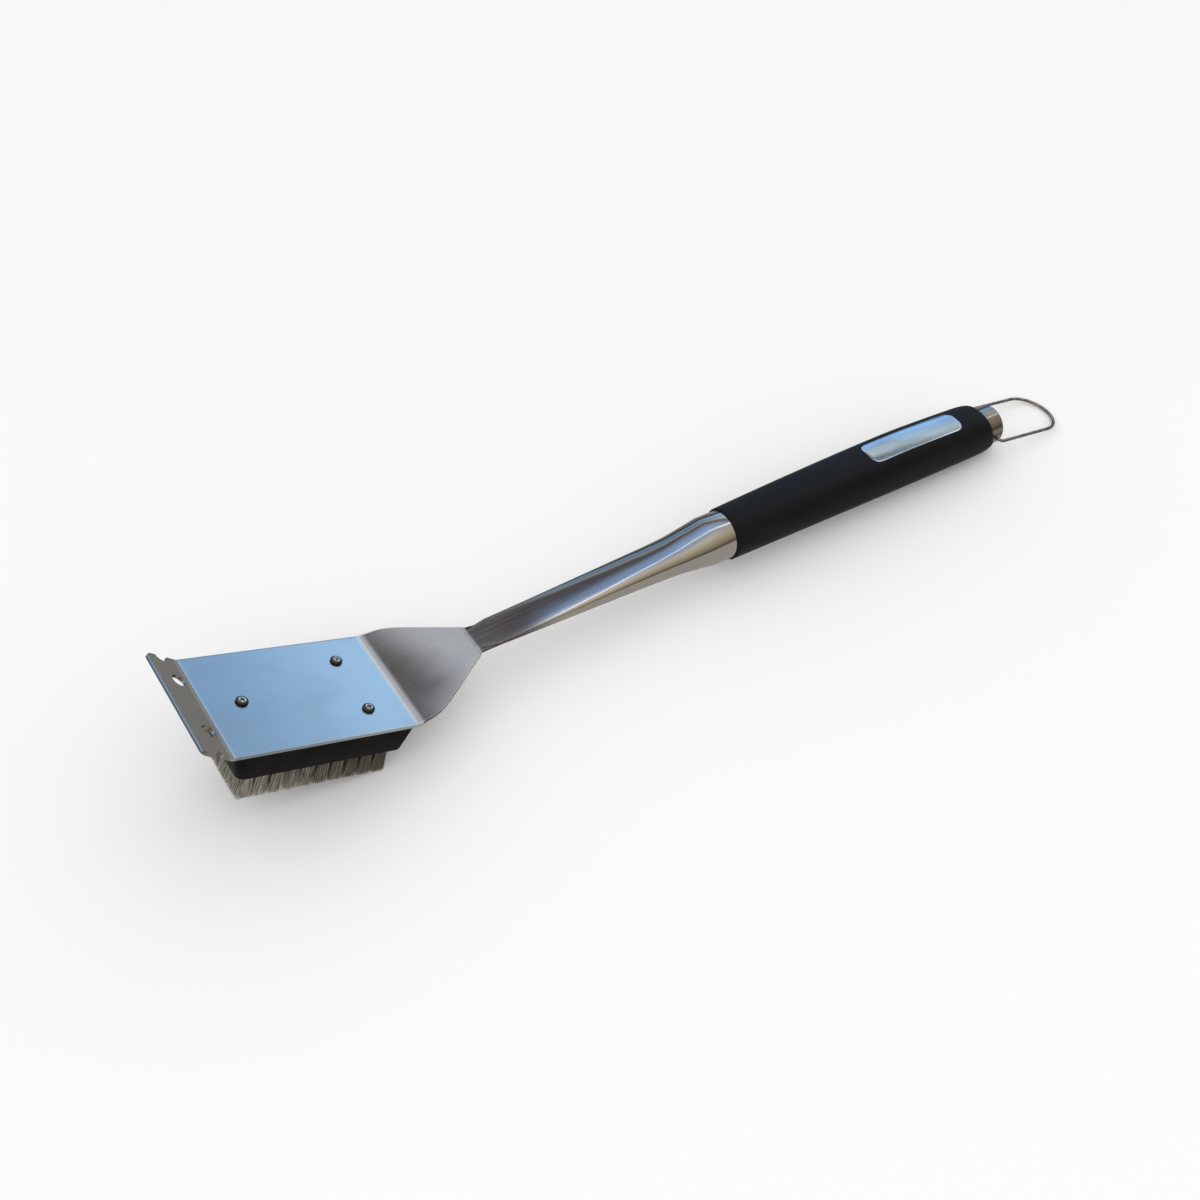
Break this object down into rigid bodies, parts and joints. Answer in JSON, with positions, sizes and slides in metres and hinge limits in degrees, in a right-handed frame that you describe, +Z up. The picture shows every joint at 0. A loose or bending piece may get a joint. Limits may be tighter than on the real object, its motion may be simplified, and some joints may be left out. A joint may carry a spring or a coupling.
{
  "type": "grill cleaning brush",
  "caption": "Long-handled grill brush: steel blade with a bent scraper lip, wire bristles in a black block, a soft black grip with a metal inlay, and a swinging wire hanging loop.",
  "frame": {"origin": "middle of the brush's footprint, on the table it lies on with its bristles and the end of its grip", "axes": "+X from the scraper lip towards the hanging loop, +Y across the brush, +Z up"},
  "size_m": [0.584, 0.0666, 0.0827],
  "materials": {
    "brushed_steel": "brushed along the plate, satin on the shaft",
    "black_nylon": "smooth moulded",
    "screw_steel": "bright plated",
    "bristle_wire": "drawn wire",
    "grip_rubber": "soft matte",
    "badge_steel": "polished satin",
    "cap_steel": "satin",
    "plug_nylon": "moulded",
    "loop_wire": "polished wire"
  },
  "bodies": {
    "brush": {"blade": "brushed_steel", "brush_block": "black_nylon", "screw_front": "screw_steel", "screw_rear_left": "screw_steel", "screw_rear_right": "screw_steel", "bristle_row_01": "bristle_wire", "bristle_row_02": "bristle_wire", "bristle_row_03": "bristle_wire", "bristle_row_04": "bristle_wire", "bristle_row_05": "bristle_wire", "bristle_row_06": "bristle_wire", "bristle_row_07": "bristle_wire", "bristle_row_08": "bristle_wire", "bristle_row_09": "bristle_wire", "bristle_row_10": "bristle_wire", "grip": "grip_rubber", "badge": "badge_steel", "end_cap": "cap_steel", "tube_plug": "plug_nylon"},
    "loop": {"hanging_loop": "loop_wire"}
  },
  "joints": [
    {"name": "loop_swing", "type": "hinge", "parent": "brush", "child": "loop", "pos_m": [0.23031, 0, 0.0137], "axis": [0, 1, 0], "range_deg": [-98, 81]}
  ]
}
